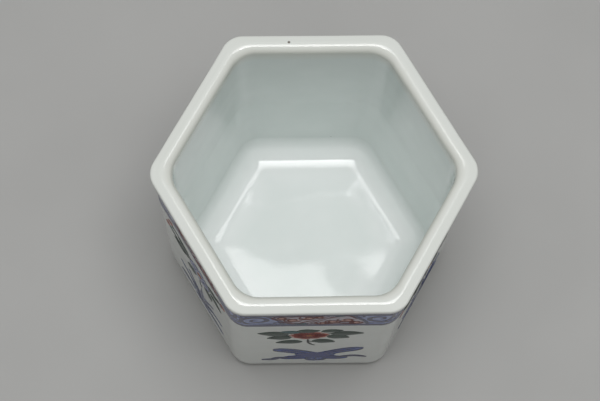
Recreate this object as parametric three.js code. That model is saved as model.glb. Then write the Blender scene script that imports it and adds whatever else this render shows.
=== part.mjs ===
// A hexagonal fire pot of glazed porcelain, slab built.
// Six mitred walls stand on a floor slab, coils of clay are worked into every inner seam, and
// six strips under the floor make the foot. Millimetres, +Z up. The origin lies under the middle
// of the foot, the front wall faces -Y and two corners lie on the X axis.

import * as THREE from 'three';
import { mergeVertices } from 'three/addons/utils/BufferGeometryUtils.js';

// Overall form, measured over the lip and round the bottom of the walls
const HEIGHT = 104;
const RIM_ACROSS_FLATS = 101;
const BASE_ACROSS_FLATS = 94;
const RIM_CORNER_RADIUS = 8;
const BASE_CORNER_RADIUS = 9;

// Slabs
const WALL_THICKNESS = 5.2;
const FLOOR_THICKNESS = 8;
const FLOOR_EDGE_RADIUS = 3.5;

// Rolled lip: a bead swells out of the wall, and a crown closes it. From its crest the crown falls
// outwards as a straight bevel to a tight edge, and inwards as a round shoulder.
const LIP_PROUD = 1.3;
const LIP_BEAD_HEIGHT = 2.6;
const LIP_CROWN_HEIGHT = 2.8;
const LIP_CREST_INSET = 3.5;
const LIP_CREST_RADIUS = 3.6;
const LIP_BEVEL_SLOPE = THREE.MathUtils.degToRad(17);
const LIP_EDGE_RADIUS = 0.9;

// Coils worked into the inner seams
const CORNER_COVE_RADIUS = 10;
const FLOOR_COVE_RADIUS = 12.5;
const FLOOR_CORNER_RADIUS = 2;

// Foot
const FOOT_HEIGHT = 3;
const FOOT_WIDTH = 5;
const FOOT_INSET = 3;
const FOOT_CHAMFER = 0.6;

// Steps of the curves
const CORNER_STEPS = 5;
const BEAD_STEPS = 4;
const LIP_EDGE_STEPS = 3;
const CREST_STEPS = 2;
const SHOULDER_STEPS = 6;
const COVE_STEPS = 8;
const EDGE_STEPS = 5;

const SIDES = ['front', 'front_right', 'back_right', 'back', 'back_left', 'front_left'];
const CORNERS = ['front_left', 'front_right', 'right', 'back_right', 'back_left', 'left'];
const SIDE_TURN = (2 * Math.PI) / SIDES.length;
const HALF_TURN = SIDE_TURN / 2;
const FIRST_CORNER_TURN = -2 * SIDE_TURN;

const FLOOR_TOP = FOOT_HEIGHT + FLOOR_THICKNESS;
const CROWN_BASE = HEIGHT - LIP_CROWN_HEIGHT;
const LIP_BASE = CROWN_BASE - LIP_BEAD_HEIGHT;
const LIP_WIDTH = WALL_THICKNESS + LIP_PROUD;

// Walls lean out from the underside of the floor to the widest line of the lip
const LEAN_HEIGHT = CROWN_BASE - FOOT_HEIGHT;
const WALL_FLARE = RIM_ACROSS_FLATS / 2 - LIP_PROUD - BASE_ACROSS_FLATS / 2;
const WALL_LEAN = Math.atan(WALL_FLARE / LEAN_HEIGHT);

// Distance from the axis to the outer and inner face of a wall, at a height
const outerApothem = (z) => BASE_ACROSS_FLATS / 2 + Math.tan(WALL_LEAN) * (z - FOOT_HEIGHT);
const innerApothem = (z) => outerApothem(z) - WALL_THICKNESS;

// The outer corners grow tighter from the base to the rim
const outerCornerRadius = (z) => THREE.MathUtils.mapLinear(
  z, FOOT_HEIGHT, HEIGHT, BASE_CORNER_RADIUS, RIM_CORNER_RADIUS);

// Floor cove: a ball of its radius touches the wall and the floor
const COVE_AXIS_HEIGHT = FLOOR_TOP + FLOOR_COVE_RADIUS;
const COVE_AXIS_APOTHEM = innerApothem(COVE_AXIS_HEIGHT) - FLOOR_COVE_RADIUS / Math.cos(WALL_LEAN);
const COVE_TOP = COVE_AXIS_HEIGHT - FLOOR_COVE_RADIUS * Math.sin(WALL_LEAN);

// Underside of the floor inside its rounded edge, and the foot below it
const UNDERSIDE_APOTHEM = outerApothem(FOOT_HEIGHT) - FLOOR_EDGE_RADIUS;
const FOOT_APOTHEM = UNDERSIDE_APOTHEM - FOOT_INSET;
const FOOT_CORNER_RADIUS = BASE_CORNER_RADIUS - FLOOR_EDGE_RADIUS - FOOT_INSET;

const PORCELAIN = { color: '#dfe4df', roughness: 0.12, metalness: 0 };
const BARE_CLAY = { color: '#d8c9b4', roughness: 0.85, metalness: 0 };

// A point on a rounded outline. turn is 0 in the middle of a corner and HALF_TURN where a side starts.
function cornerPoint(corner, outline, turn) {
  const { apothem, radius, z } = outline;
  const middle = FIRST_CORNER_TURN + SIDE_TURN * (corner % CORNERS.length);
  const reach = (apothem - radius) / Math.cos(HALF_TURN);
  return new THREE.Vector3(
    reach * Math.cos(middle) + radius * Math.cos(middle + turn),
    reach * Math.sin(middle) + radius * Math.sin(middle + turn),
    z,
  );
}

// Half of a rounded corner, from its middle to where the side starts
function roundedHalf(corner, outline, direction) {
  const points = [];
  for (let step = 0; step <= CORNER_STEPS; step += 1) {
    points.push(cornerPoint(corner, outline, (direction * HALF_TURN * step) / CORNER_STEPS));
  }
  return points;
}

// Half of a sharp corner, with as many points, up to where a corner cove leaves the wall
function sharpHalf(corner, outline, direction) {
  const tip = cornerPoint(corner, { ...outline, radius: 0 }, 0);
  const coveEnd = cornerPoint(corner, { ...outline, radius: CORNER_COVE_RADIUS }, direction * HALF_TURN);
  const points = [];
  for (let step = 0; step < CORNER_STEPS; step += 1) {
    points.push(tip.clone().lerp(coveEnd, step / CORNER_STEPS));
  }
  points.push(coveEnd);
  return points;
}

// One side of an outline, from the middle of its first corner to the middle of the next
function sideRow(side, outline) {
  const half = outline.sharp ? sharpHalf : roundedHalf;
  return [...half(side, outline, 1), ...half(side + 1, outline, -1).reverse()];
}

// A whole rounded outline
function ringRow(outline) {
  return SIDES.flatMap((name, side) => sideRow(side, outline).slice(1));
}

// Triangles as a closed geometry; those that have shrunk to a line are left out
function solidGeometry(triangles) {
  const full = triangles.filter(([a, b, c]) => !a.equals(b) && !b.equals(c) && !c.equals(a));
  const loose = new THREE.BufferGeometry().setFromPoints(full.flat());
  const geometry = mergeVertices(loose);
  geometry.computeVertexNormals();
  return geometry;
}

// The band of triangles between two rows of points
function band(lower, upper) {
  const triangles = [];
  for (let place = 0; place + 1 < lower.length; place += 1) {
    triangles.push([lower[place], lower[place + 1], upper[place + 1]]);
    triangles.push([lower[place], upper[place + 1], upper[place]]);
  }
  return triangles;
}

// A length of clay between two mitres. Its rows run round the section: up outside, down inside.
function mitredSolid(rows) {
  const triangles = rows.flatMap((row, place) => band(row, rows[(place + 1) % rows.length]));
  const last = rows[0].length - 1;
  const section = rows.map((row) => new THREE.Vector2(Math.hypot(row[0].x, row[0].y), row[0].z));
  for (const [a, b, c] of THREE.ShapeUtils.triangulateShape(section, [])) {
    triangles.push([rows[a][0], rows[b][0], rows[c][0]]);
    triangles.push([rows[a][last], rows[c][last], rows[b][last]]);
  }
  return solidGeometry(triangles);
}

// A solid between level outlines, listed from the lowest up
function stackedSolid(rings) {
  const closed = rings.map((ring) => [...ring, ring[0]]);
  const triangles = closed.slice(1).flatMap((ring, place) => band(closed[place], ring));
  const bottom = rings[0];
  const top = rings[rings.length - 1];
  const plan = bottom.map((point) => new THREE.Vector2(point.x, point.y));
  for (const [a, b, c] of THREE.ShapeUtils.triangulateShape(plan, [])) {
    triangles.push([top[a], top[b], top[c]]);
    triangles.push([bottom[a], bottom[c], bottom[b]]);
  }
  return solidGeometry(triangles);
}

function piece(name, geometry, finish) {
  const mesh = new THREE.Mesh(geometry, new THREE.MeshStandardMaterial(finish));
  mesh.name = name;
  return mesh;
}

// The lip's bead swells out of the wall in a smooth curve
function beadOutlines() {
  const outlines = [];
  for (let step = 0; step < BEAD_STEPS; step += 1) {
    const share = step / BEAD_STEPS;
    const z = LIP_BASE + LIP_BEAD_HEIGHT * share;
    const swell = (LIP_PROUD * (1 - Math.cos(Math.PI * share))) / 2;
    outlines.push({ apothem: outerApothem(z) + swell, radius: outerCornerRadius(z), z });
  }
  return outlines;
}

// The section of the crown from the bead to the inner face: how far in from the outer face, and how high
function crownSection() {
  const steep = Math.PI / 2 - LIP_BEVEL_SLOPE;
  const crestAxis = HEIGHT - LIP_CREST_RADIUS;
  const bevelTop = LIP_CREST_INSET - LIP_CREST_RADIUS * Math.cos(steep);
  const bevelEnd = LIP_EDGE_RADIUS * (1 - Math.cos(steep));
  const edgeAxis = crestAxis + (LIP_CREST_RADIUS - LIP_EDGE_RADIUS) * Math.sin(steep)
    - Math.tan(LIP_BEVEL_SLOPE) * (bevelTop - bevelEnd);
  const section = [{ inset: 0, z: CROWN_BASE }];
  for (let step = 0; step <= LIP_EDGE_STEPS; step += 1) {
    const turn = (steep * step) / LIP_EDGE_STEPS;
    section.push({
      inset: LIP_EDGE_RADIUS * (1 - Math.cos(turn)),
      z: edgeAxis + LIP_EDGE_RADIUS * Math.sin(turn),
    });
  }
  for (let step = 0; step <= CREST_STEPS; step += 1) {
    const turn = THREE.MathUtils.lerp(steep, Math.PI / 2, step / CREST_STEPS);
    section.push({
      inset: LIP_CREST_INSET - LIP_CREST_RADIUS * Math.cos(turn),
      z: crestAxis + LIP_CREST_RADIUS * Math.sin(turn),
    });
  }
  for (let step = 1; step <= SHOULDER_STEPS; step += 1) {
    const turn = ((Math.PI / 2) * step) / SHOULDER_STEPS;
    section.push({
      inset: THREE.MathUtils.lerp(LIP_CREST_INSET, LIP_WIDTH, Math.sin(turn)),
      z: CROWN_BASE + LIP_CROWN_HEIGHT * Math.cos(turn),
    });
  }
  return section;
}

// The outlines of the crown. Their corners open from the outer radius to that of the coves.
function crownOutlines() {
  const outer = outerApothem(CROWN_BASE) + LIP_PROUD;
  return crownSection().map(({ inset, z }) => ({
    apothem: outer - inset,
    radius: THREE.MathUtils.lerp(outerCornerRadius(CROWN_BASE), CORNER_COVE_RADIUS, inset / LIP_WIDTH),
    z,
  }));
}

// A wall with its share of the lip. Under the lip its inner face is flat up to the mitres.
function wallSlab(side) {
  const flatInside = (z) => ({ apothem: innerApothem(z), z, sharp: true });
  const outlines = [
    { apothem: outerApothem(FLOOR_TOP), radius: outerCornerRadius(FLOOR_TOP), z: FLOOR_TOP },
    ...beadOutlines(),
    ...crownOutlines(),
    { apothem: innerApothem(LIP_BASE), radius: CORNER_COVE_RADIUS, z: LIP_BASE },
    flatInside(LIP_BASE),
    flatInside(COVE_TOP),
    flatInside(FLOOR_TOP),
  ];
  return mitredSolid(outlines.map((outline) => sideRow(side, outline)));
}

// The coil in the seam of two walls fills the corner from the floor coil up to the lip
function cornerCoil(corner) {
  const section = (z) => {
    const outline = { apothem: innerApothem(z), radius: CORNER_COVE_RADIUS, z };
    const tip = cornerPoint(corner, { ...outline, radius: 0 }, 0);
    const after = roundedHalf(corner, outline, 1).reverse();
    const before = roundedHalf(corner, outline, -1).slice(1);
    return [tip, ...after, ...before];
  };
  return stackedSolid([section(COVE_TOP), section(LIP_BASE)]);
}

// The coil along the foot of a wall, coved down to the floor and mitred at both corners
function floorCoil(side) {
  const outlines = [
    { apothem: innerApothem(FLOOR_TOP), z: FLOOR_TOP, sharp: true },
    { apothem: innerApothem(COVE_TOP), z: COVE_TOP, sharp: true },
  ];
  for (let step = 0; step <= COVE_STEPS; step += 1) {
    const share = step / COVE_STEPS;
    const turn = THREE.MathUtils.lerp(WALL_LEAN, Math.PI / 2, share);
    const apothem = COVE_AXIS_APOTHEM + FLOOR_COVE_RADIUS * Math.cos(turn);
    const z = COVE_AXIS_HEIGHT - FLOOR_COVE_RADIUS * Math.sin(turn);
    const radius = THREE.MathUtils.mapLinear(
      apothem, innerApothem(COVE_TOP), COVE_AXIS_APOTHEM, CORNER_COVE_RADIUS, FLOOR_CORNER_RADIUS);
    outlines.push({ apothem, radius, z });
  }
  return mitredSolid(outlines.map((outline) => sideRow(side, outline)));
}

// The floor slab carries the walls, and its lower edge is rounded
function floorSlab() {
  const outlines = [];
  for (let step = 0; step <= EDGE_STEPS; step += 1) {
    const turn = (Math.PI / 2) * (step / EDGE_STEPS);
    const z = FOOT_HEIGHT + FLOOR_EDGE_RADIUS * (1 - Math.cos(turn));
    const inset = FLOOR_EDGE_RADIUS * (1 - Math.sin(turn));
    outlines.push({ apothem: outerApothem(z) - inset, radius: outerCornerRadius(z) - inset, z });
  }
  const top = { apothem: outerApothem(FLOOR_TOP), radius: outerCornerRadius(FLOOR_TOP), z: FLOOR_TOP };
  return stackedSolid([...outlines, top].map(ringRow));
}

// A strip of the foot, wiped clean of glaze and chamfered where it stands
function footStrip(side) {
  const inner = FOOT_APOTHEM - FOOT_WIDTH;
  const outlines = [
    { apothem: FOOT_APOTHEM - FOOT_CHAMFER, radius: FOOT_CORNER_RADIUS, z: 0 },
    { apothem: FOOT_APOTHEM, radius: FOOT_CORNER_RADIUS, z: FOOT_CHAMFER },
    { apothem: FOOT_APOTHEM, radius: FOOT_CORNER_RADIUS, z: FOOT_HEIGHT },
    { apothem: inner, radius: FOOT_CORNER_RADIUS, z: FOOT_HEIGHT },
    { apothem: inner, radius: FOOT_CORNER_RADIUS, z: FOOT_CHAMFER },
    { apothem: inner + FOOT_CHAMFER, radius: FOOT_CORNER_RADIUS, z: 0 },
  ];
  return mitredSolid(outlines.map((outline) => sideRow(side, outline)));
}

const pot = new THREE.Group();
pot.add(piece('floor_slab', floorSlab(), PORCELAIN));
SIDES.forEach((name, side) => {
  pot.add(piece(`wall_slab_${name}`, wallSlab(side), PORCELAIN));
  pot.add(piece(`floor_coil_${name}`, floorCoil(side), PORCELAIN));
  pot.add(piece(`foot_strip_${name}`, footStrip(side), BARE_CLAY));
});
CORNERS.forEach((name, corner) => {
  pot.add(piece(`corner_coil_${name}`, cornerCoil(corner), PORCELAIN));
});

export default pot;
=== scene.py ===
"""Looks of a hexagonal fire pot: slab-built porcelain under a clear greenish glaze, with a border and sprays
painted in underglaze blue and in red, green, yellow and turquoise enamels."""

import math
from typing import NamedTuple

import bmesh
import bpy
import numpy as np
from bpy.props import FloatProperty, FloatVectorProperty, IntProperty, PointerProperty
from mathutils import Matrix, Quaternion, Vector, noise


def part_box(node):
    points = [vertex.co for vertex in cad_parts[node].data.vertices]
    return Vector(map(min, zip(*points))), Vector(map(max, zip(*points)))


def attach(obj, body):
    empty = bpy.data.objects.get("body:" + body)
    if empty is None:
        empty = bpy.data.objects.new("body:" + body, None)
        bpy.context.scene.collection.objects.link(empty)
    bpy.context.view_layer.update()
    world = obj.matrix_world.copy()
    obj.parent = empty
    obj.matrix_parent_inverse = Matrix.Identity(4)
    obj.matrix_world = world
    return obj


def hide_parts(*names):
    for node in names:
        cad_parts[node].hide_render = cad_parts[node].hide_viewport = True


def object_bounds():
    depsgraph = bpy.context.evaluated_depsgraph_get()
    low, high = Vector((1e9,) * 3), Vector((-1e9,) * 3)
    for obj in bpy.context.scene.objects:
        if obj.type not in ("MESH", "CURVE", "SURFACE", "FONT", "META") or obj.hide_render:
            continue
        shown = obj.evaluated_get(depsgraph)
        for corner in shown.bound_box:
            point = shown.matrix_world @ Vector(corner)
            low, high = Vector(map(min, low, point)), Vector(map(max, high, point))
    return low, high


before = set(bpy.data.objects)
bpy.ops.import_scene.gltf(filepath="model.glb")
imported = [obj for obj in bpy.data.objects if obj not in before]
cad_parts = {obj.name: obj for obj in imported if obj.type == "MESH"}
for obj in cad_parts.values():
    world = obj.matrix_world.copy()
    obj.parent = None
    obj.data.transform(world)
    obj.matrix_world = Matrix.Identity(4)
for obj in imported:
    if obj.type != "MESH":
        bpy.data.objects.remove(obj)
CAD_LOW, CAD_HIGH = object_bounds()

bl_info = {
    "name": "Hexagonal fire pot",
    "version": (1, 0, 0),
    "blender": (4, 5, 0),
    "location": "View3D > Sidebar > Fire pot",
    "description": "Builds the glaze, the painting and the stage of a hexagonal fire pot",
    "category": "Object",
}

MM = 0.001
SIDES = ("front", "front_right", "back_right", "back", "back_left", "front_left")
CORNERS = ("front_left", "front_right", "right", "back_right", "back_left", "left")
SIDE_TURN = math.tau / len(SIDES)
HALF_TURN = SIDE_TURN / 2
SIDE_ANGLES = np.array([-math.pi / 2 + SIDE_TURN * side for side in range(len(SIDES))])
OUTWARD = np.stack([np.cos(SIDE_ANGLES), np.sin(SIDE_ANGLES)], 1)
RIGHTWARD = np.stack([-np.sin(SIDE_ANGLES), np.cos(SIDE_ANGLES)], 1)

# Steps of an outline round half a corner and along a flat wall
ARC_STEPS = 10
FLAT_STEPS = 26

# Places far apart in the noise, for the three directions of a move
WANDER_SHIFTS = (Vector((31.4, 2.9, 17.3)), Vector((11.9, 23.6, 41.2)), Vector((5.2, 47.7, 13.1)))


def linear(code):
    """An sRGB hex colour as the linear values that Blender works in."""
    parts = [int(code[place:place + 2], 16) / 255 for place in (1, 3, 5)]
    return tuple(part / 12.92 if part <= 0.04045 else ((part + 0.055) / 1.055) ** 2.4 for part in parts)


def length(name, description, default, low, high):
    return FloatProperty(name=name, description=description, default=default * MM, min=low * MM, max=high * MM,
                         unit="LENGTH", precision=5)


def slope(name, description, default, high):
    return FloatProperty(name=name, description=description, default=math.radians(default), min=0,
                         max=math.radians(high), subtype="ANGLE")


def colour(name, description, code):
    return FloatVectorProperty(name=name, description=description, default=linear(code), min=0, max=1,
                               size=3, subtype="COLOR")


class FirePotSizes(bpy.types.PropertyGroup):
    lip_crown: length("Lip crown", "Height of the crown that closes the lip", 2.8, 1, 6)
    lip_proud: length("Lip proud", "How far the lip stands out from the wall", 1.3, 0, 3)
    crest_inset: length("Crest inset", "From the lip's outer face in to its crest", 3.5, 2, 5)
    crest_radius: length("Crest radius", "Radius of the lip's crest", 3.6, 1, 6)
    bevel_slope: slope("Bevel slope", "Fall of the lip's outer bevel", 17, 40)
    lip_edge: length("Lip edge", "Radius of the lip's outer edge", 0.9, 0.3, 2)
    corner_cove: length("Corner cove", "Radius of the coved seams inside", 10, 4, 20)
    floor_corner: length("Floor corner", "Corner radius of the flat floor inside", 2, 0.5, 8)
    seam_cove: length("Seam cove", "Radius where the cove turns up into the wall", 5.5, 3, 12)
    cove_slope: slope("Cove slope", "Slope of the cove between the floor and the seam", 21, 60)
    cove_run: length("Cove run", "Length of the straight part of the cove", 3, 0, 6)
    wall_bend: length("Wall bend", "Height below which the wall thickens inside", 49, 25, 90)
    floor_edge: length("Floor edge", "Radius of the rounded lower edge", 3.5, 1, 8)
    unevenness: length("Unevenness", "How far the hand-built walls wander", 0.13, 0, 0.3)
    ripple: length("Ripple", "Height of the ripples inside, left by wet fingers", 0.2, 0, 0.5)
    border_low: length("Border low line", "Height of the border's lower line", 77.4, 40, 90)
    border_high: length("Border high line", "Height of the border's upper line", 97.2, 60, 98)
    brush_seed: IntProperty(name="Brush seed", description="Varies the strokes from panel to panel",
                            default=11, min=0)


class FirePotColours(bpy.types.PropertyGroup):
    glaze: colour("Glaze", "White porcelain seen through the clear glaze", "#E9EDE8")
    # Cooler where the glaze lies thicker inside, and darker as painted shade inside the pot and under its floor
    sheltered_glaze: colour("Glaze inside", "The same inside, where the glaze lies thicker", "#DDE5E2")
    # Glaze where it pools, painted paler: painted light in the cove and on the floor inside
    pooled_glaze: colour("Pooled glaze", "The same where the glaze has run together", "#F2F5F4")
    # Warm thin glaze on the lip's inner edge, darkened there as painted shade
    thin_glaze: colour("Thin glaze", "Inner edge of the lip, where the glaze has run thin", "#D3D3C8")
    bare_clay: colour("Bare clay", "Wiped foot, fired without glaze", "#D9CDBB")
    clay_flush: colour("Clay flush", "Orange line where the foot meets the glaze", "#B98358")
    iron_speck: colour("Iron speck", "Specks that fired through the glaze", "#4B3A2C")
    cobalt_wash: colour("Cobalt wash", "Thin underglaze blue", "#97A5D3")
    field_tint: colour("Field tint", "Clouded white behind the red scrolls", "#C4BBC9")
    cobalt_pool: colour("Cobalt pool", "Underglaze blue where the brush has rested", "#5565AC")
    cobalt_deep: colour("Cobalt deep wash", "Underglaze blue of the blades", "#465AA2")
    cobalt_depth: colour("Cobalt depth", "Underglaze blue where a full brush has rested", "#20318A")
    cobalt_line: colour("Cobalt line", "Outlines in underglaze blue", "#162068")
    iron_red: colour("Iron red", "Red enamel in the petals", "#B5422B")
    iron_red_line: colour("Iron red line", "Red enamel drawn thick", "#6B1A10")
    pale_red: colour("Pale red", "Red enamel let down to pink", "#DDB0A4")
    leaf_green: colour("Leaf green", "Translucent green enamel", "#214537")
    leaf_vein: colour("Leaf vein", "Dark drawing under the green enamel", "#0E1614")
    yellow: colour("Yellow", "Yellow enamel in the flower hearts", "#B87A45")
    turquoise: colour("Turquoise", "Blue-green enamel", "#336468")
    floor: colour("Floor", "Pale studio floor", "#B8B8B6")
    backdrop: colour("Backdrop", "What the camera and the gloss see beyond the floor", "#D6D6D4")


class Form:
    """The pot's form: the sizes of the panel, and the main ones, which the CAD pieces' boxes give."""

    def __init__(self, sizes):
        for name in FirePotSizes.__annotations__:
            setattr(self, name, getattr(sizes, name))
        wall_low, wall_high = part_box("wall_slab_front")
        slab_low, slab_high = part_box("floor_slab")
        foot_low, foot_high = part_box("foot_strip_front")
        self.height = wall_high.z
        self.floor_top = wall_low.z
        self.underside = slab_low.z
        self.lip_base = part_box("corner_coil_left")[1].z
        self.crown_base = self.height - self.lip_crown
        self.wall = wall_high.y - slab_low.y
        self.slab_apothem = -slab_low.y
        rim_apothem = -wall_low.y
        self.lean = (rim_apothem - self.lip_proud - self.slab_apothem) / (self.crown_base - self.floor_top)
        self.tilt = math.atan(self.lean)
        self.rim_radius = self.corner_radius(rim_apothem, CAD_HIGH.x)
        self.slab_radius = self.corner_radius(self.slab_apothem, slab_high.x)
        self.cove_apothem = -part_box("floor_coil_front")[1].y
        floor_reach = self.outer(self.floor_top) - self.wall - self.cove_apothem
        self.cove_radius = floor_reach / (1 / math.cos(self.tilt) - self.lean)
        self.foot_outer, self.foot_inner, self.foot_height = -foot_low.y, -foot_high.y, foot_high.z

    @staticmethod
    def corner_radius(apothem, reach):
        """Radius of the rounded corners of a hexagon, from how far they reach."""
        sharp = 1 / math.cos(HALF_TURN)
        return (apothem * sharp - reach) / (sharp - 1)

    def outer(self, z):
        return self.slab_apothem + self.lean * (z - self.floor_top)

    def swell(self, z):
        """How far the bead under the lip stands proud of the wall."""
        share = np.clip((z - self.lip_base) / (self.crown_base - self.lip_base), 0, 1)
        return self.lip_proud * (1 - np.cos(math.pi * share)) / 2

    def outer_radius(self, z):
        share = (z - self.floor_top) / (self.crown_base - self.floor_top)
        return self.slab_radius + (self.rim_radius - self.slab_radius) * share


def wander(point, size, start=Vector()):
    """A smooth wandering move about as broad as size, and the same on each run."""
    place = Vector(point) / size + start
    return [noise.noise(place + shift) for shift in WANDER_SHIFTS]


# The soft clay has moved in broad waves, and in fine ones by a part as much
BROAD_MOVE, FINE_MOVE, FINE_PART = 27 * MM, 9 * MM, 0.3
# It moves less upright, and not at all where the foot stands on the ground
UPRIGHT_PART = 0.8
STILL_BELOW, FREE_OVER = 3 * MM, 12 * MM
# The pot is drawn in by so many times the unevenness, aside and upright, to stay inside the CAD's box
ROOM_ASIDE, ROOM_UPRIGHT = 2.6, 0.8


def handmade(points, form):
    """Moves points as the soft clay has moved: one smooth field for all pieces, so that they stay seated."""
    aside = 1 - ROOM_ASIDE * form.unevenness / CAD_HIGH.x
    moved = np.array(points, float) * (aside, aside, 1 - ROOM_UPRIGHT * form.unevenness / form.height)
    drift = np.array([wander(point, BROAD_MOVE) for point in moved])
    drift += FINE_PART * np.array([wander(point, FINE_MOVE) for point in moved])
    drift[:, 2] *= UPRIGHT_PART * np.clip((moved[:, 2] - STILL_BELOW) / FREE_OVER, 0, 1)
    moved += form.unevenness * drift
    moved[:, :2] = np.clip(moved[:, :2], np.array(CAD_LOW[:2]), np.array(CAD_HIGH[:2]))
    moved[:, 2] = np.clip(moved[:, 2], 0, form.height)
    return moved


def outline(apothem, radius, z):
    """A whole rounded hexagon, from the middle of its first corner round to where it began."""
    half_flat = (apothem - radius) * math.tan(HALF_TURN)
    turns = np.linspace(HALF_TURN, 0, ARC_STEPS + 1)
    shares = np.linspace(-1, 1, FLAT_STEPS + 1)
    turn = np.concatenate([-turns[:-1], np.zeros(FLAT_STEPS + 1), turns[::-1][1:-1]])
    share = np.concatenate([np.full(ARC_STEPS, -1), shares, np.full(ARC_STEPS - 1, 1)])
    rows = []
    for out, right in zip(OUTWARD, RIGHTWARD):
        flat = out * (apothem - radius) + np.outer(share * half_flat, right)
        rows.append(flat + radius * (np.outer(np.cos(turn), out) + np.outer(np.sin(turn), right)))
    plan = np.concatenate(rows)
    return np.column_stack([plan, np.full(len(plan), z)])


def stacked_mesh(rows, values, close=False):
    """A skin over outlines. Unless it closes on itself as a ring does, it ends in a point at either end."""
    width, count = len(rows[0]), len(rows)
    beside = [(place, (place + 1) % width) for place in range(width)]
    points = np.concatenate(rows)
    weights = np.repeat(np.array(values, float), width, axis=0)
    faces = []
    for band in range(count if close else count - 1):
        lower, upper = band * width, (band + 1) % count * width
        faces += [(lower + a, lower + b, upper + b, upper + a) for a, b in beside]
    if not close:
        first, last, top = len(points), len(points) + 1, len(points) - width
        faces += [(first, b, a) for a, b in beside] + [(last, top + a, top + b) for a, b in beside]
        points = np.concatenate([points, [rows[0].mean(0), rows[-1].mean(0)]])
        weights = np.concatenate([weights, [values[0], values[-1]]])
    return points, faces, weights


def add_piece(name, points, faces, attribute, values, material, form):
    """A shown piece of the pot, in metres in the frame of the CAD."""
    mesh = bpy.data.meshes.new(name)
    mesh.from_pydata(handmade(points, form).tolist(), [], faces)
    layer = mesh.attributes.new(attribute, "FLOAT_VECTOR", "POINT")
    layer.data.foreach_set("vector", np.asarray(values, np.float32).ravel())
    shape = bmesh.new()
    shape.from_mesh(mesh)
    bmesh.ops.recalc_face_normals(shape, faces=shape.faces)
    shape.to_mesh(mesh)
    shape.free()
    mesh.polygons.foreach_set("use_smooth", [True] * len(mesh.polygons))
    mesh.materials.append(material)
    made = bpy.data.objects.new(name, mesh)
    bpy.context.scene.collection.objects.link(made)
    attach(made, "root")
    return made


# Porcelain body

# The walls' inner faces stand nearly upright above the bend, and thicken below it along a soft curve
INNER_LEAN = 0.008
BEND_CURVE = 1.15
# How far the glaze pools, from 0 to 1: under the floor, round the lower edge, at the foot of the walls
# (where it fades out over a height), under the lip, down the inside, in the cove and on the floor. Its
# colour there is paler, which paints light into the cove and onto the floor inside.
UNDER_POOL, EDGE_POOL, FOOT_POOL, FOOT_POOL_FADE = 0.3, 0.45, 0.35, 9 * MM
BEAD_POOL, INSIDE_POOL, FLOOR_POOL, FLOOR_POOL_FROM = 0.5, 0.2, 0.6, 0.7
# How thin it has run on the lip's crest, by how much more at its inner edge, and just below that.
# There its darker colour is painted shade on the lip's inner side, over the warm tint of thin glaze.
CREST_THIN, EDGE_THIN, INNER_THIN = 0.15, 0.45, 0.6
# The underside takes painted shade in part. Inside, painted shade with the cooler tint of thicker
# glaze sets in within a fourteenth of the wall's height.
UNDER_SHELTER, SHELTER_RATE = 0.6, 14


def crown_section(form):
    """The lip from its bead to the inner face: how far in from the outer face, and how high."""
    steep = math.pi / 2 - form.bevel_slope
    crest_axis = form.height - form.crest_radius
    bevel_top = form.crest_inset - form.crest_radius * math.cos(steep)
    bevel_end = form.lip_edge * (1 - math.cos(steep))
    edge_axis = crest_axis + (form.crest_radius - form.lip_edge) * math.sin(steep)
    edge_axis -= math.tan(form.bevel_slope) * (bevel_top - bevel_end)
    section = [(0, form.crown_base), (0, (form.crown_base + edge_axis) / 2)]
    section += [(form.lip_edge * (1 - math.cos(turn)), edge_axis + form.lip_edge * math.sin(turn))
                for turn in np.linspace(0, steep, 8)]
    crest = [(form.crest_inset - form.crest_radius * math.cos(turn),
              crest_axis + form.crest_radius * math.sin(turn)) for turn in np.linspace(steep, math.pi / 2, 6)]
    last, first = section[-1], crest[0]
    section += [(last[0] + (first[0] - last[0]) * share, last[1] + (first[1] - last[1]) * share)
                for share in (0.25, 0.5, 0.75)]
    shoulder = form.wall + form.lip_proud - form.crest_inset
    return section + crest + [
        (form.crest_inset + shoulder * math.sin(turn), form.crown_base + form.lip_crown * math.cos(turn))
        for turn in np.linspace(0, math.pi / 2, 13)[1:]
    ]


def cove_section(form):
    """The seam of wall and floor, from the wall down: its distance from the middle, and its height."""
    rise, run = math.sin(form.cove_slope), math.cos(form.cove_slope)
    lower = [(form.cove_apothem + form.cove_radius * math.sin(turn),
              form.floor_top + form.cove_radius * (1 - math.cos(turn)))
             for turn in np.linspace(form.cove_slope, 0, 8)]
    straight = [(lower[0][0] + run * form.cove_run * share, lower[0][1] + rise * form.cove_run * share)
                for share in (1, 0.67, 0.33)]
    upper = [(straight[0][0] + form.seam_cove * (math.sin(turn) - rise),
              straight[0][1] + form.seam_cove * (run - math.cos(turn)))
             for turn in np.linspace(math.pi / 2 - form.tilt, form.cove_slope, 12)]
    return upper[:-1] + straight + lower


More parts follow.
